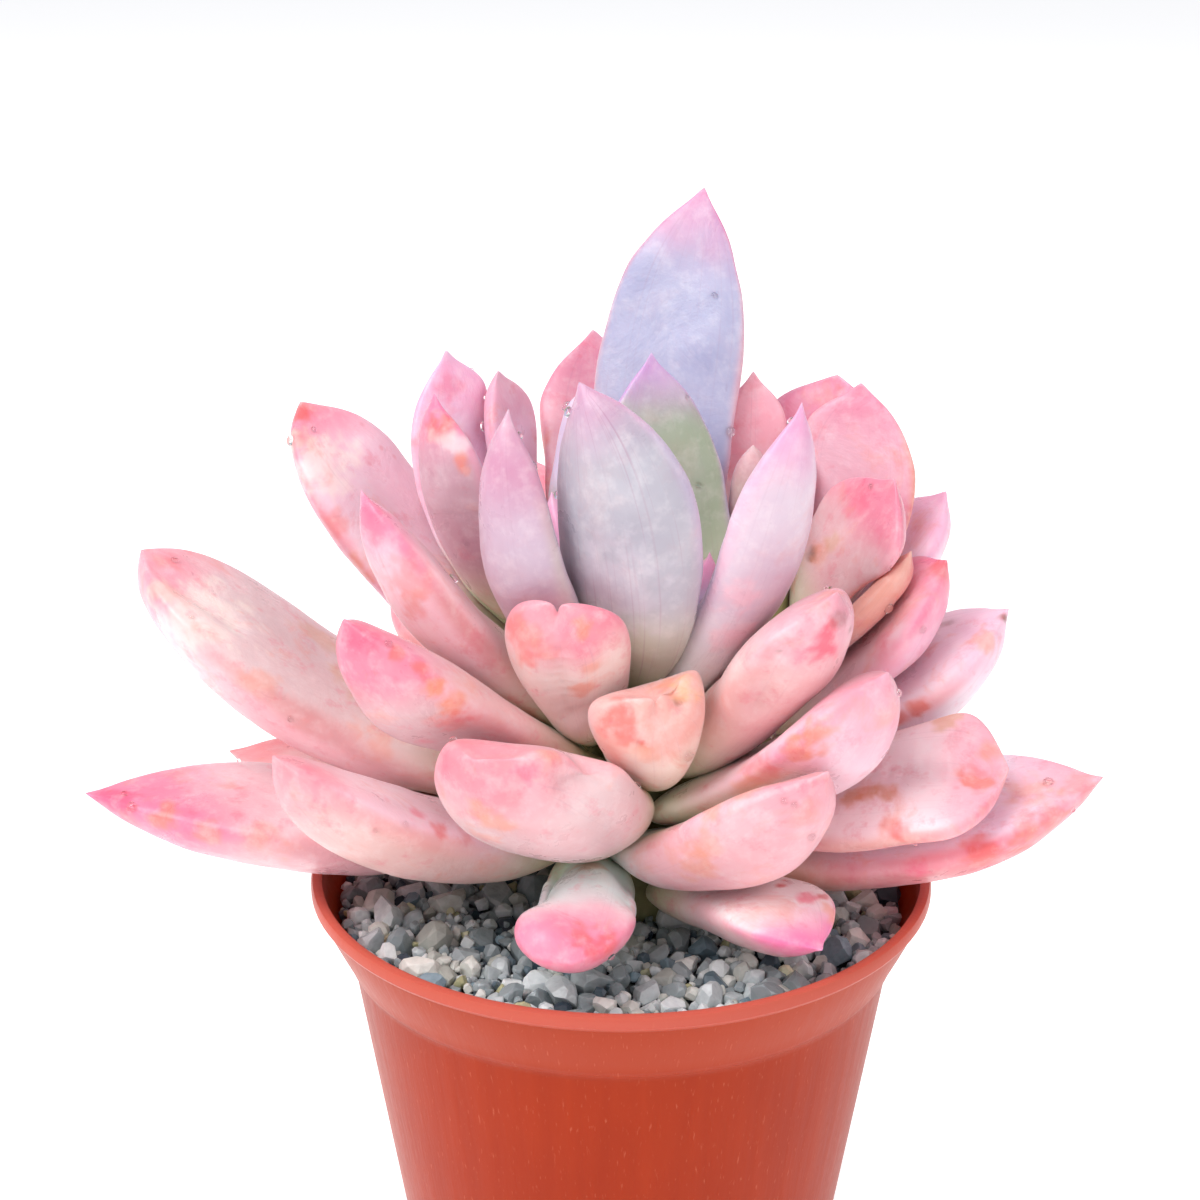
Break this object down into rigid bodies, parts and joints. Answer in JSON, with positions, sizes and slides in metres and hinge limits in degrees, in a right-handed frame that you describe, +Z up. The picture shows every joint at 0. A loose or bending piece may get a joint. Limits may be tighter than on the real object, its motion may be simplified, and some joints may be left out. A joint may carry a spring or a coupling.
{
  "type": "potted succulent",
  "caption": "Rosette of thick pointed pink and lilac leaves on a short branching stem, set in grit in a tapered plastic nursery pot with a flared collar.",
  "frame": {"origin": "centre of the pot's flat underside", "axes": "+Z up out of the pot; -Y towards the side with the main rosette, +X to its right"},
  "size_m": [0.1265, 0.094, 0.1543],
  "materials": {
    "pot_plastic": "moulded terracotta-red polypropylene, satin, lightly scuffed",
    "grit": "loose quartz, pumice and basalt grit, 1 to 5 mm",
    "soil": "damp peat and bark potting mix",
    "stem_bark": "pale green-brown fleshy stem",
    "leaf_flesh": "waxy translucent leaf with a powdery bloom, pink with coral tips"
  },
  "bodies": {
    "root": {"nursery_pot": "pot_plastic", "potting_mix": "soil", "grit_layer": "grit", "stem": "stem_bark", "leaf_outer_left_low": "leaf_flesh", "leaf_outer_left_under": "leaf_flesh", "leaf_outer_left": "leaf_flesh", "leaf_front_left_low": "leaf_flesh", "leaf_front_left_upper": "leaf_flesh", "leaf_front_blunt": "leaf_flesh", "leaf_front_drooping": "leaf_flesh", "leaf_front_right": "leaf_flesh", "leaf_front_right_low": "leaf_flesh", "leaf_right_front": "leaf_flesh", "leaf_outer_right": "leaf_flesh", "leaf_outer_right_low": "leaf_flesh", "leaf_left_inner": "leaf_flesh", "leaf_heart": "leaf_flesh", "leaf_small_peach": "leaf_flesh", "leaf_right_inner": "leaf_flesh", "leaf_right_upright": "leaf_flesh", "leaf_centre_left": "leaf_flesh", "leaf_centre_front": "leaf_flesh", "leaf_centre_back": "leaf_flesh", "leaf_tall_rear": "leaf_flesh", "leaf_rear_left_red": "leaf_flesh", "leaf_crown_left": "leaf_flesh", "leaf_crown_right": "leaf_flesh", "leaf_crown_heart": "leaf_flesh", "leaf_left_upper": "leaf_flesh", "leaf_left_head_outer": "leaf_flesh", "leaf_left_head_front": "leaf_flesh", "leaf_left_head_back": "leaf_flesh", "leaf_left_head_bud": "leaf_flesh", "leaf_right_side": "leaf_flesh", "leaf_right_side_upper": "leaf_flesh", "leaf_right_side_inner": "leaf_flesh", "leaf_right_back": "leaf_flesh", "leaf_right_head_broad": "leaf_flesh", "leaf_right_head_front": "leaf_flesh", "leaf_right_head_back": "leaf_flesh", "leaf_right_head_inner": "leaf_flesh", "leaf_right_head_bud": "leaf_flesh", "leaf_right_head_core": "leaf_flesh", "leaf_back_low_left": "leaf_flesh", "leaf_back_left": "leaf_flesh", "leaf_back_low": "leaf_flesh", "leaf_back_middle": "leaf_flesh", "leaf_back_low_right": "leaf_flesh", "leaf_back_right": "leaf_flesh", "leaf_right_low_rear": "leaf_flesh", "leaf_right_rear": "leaf_flesh", "leaf_right_low_side": "leaf_flesh"}
  },
  "joints": []
}
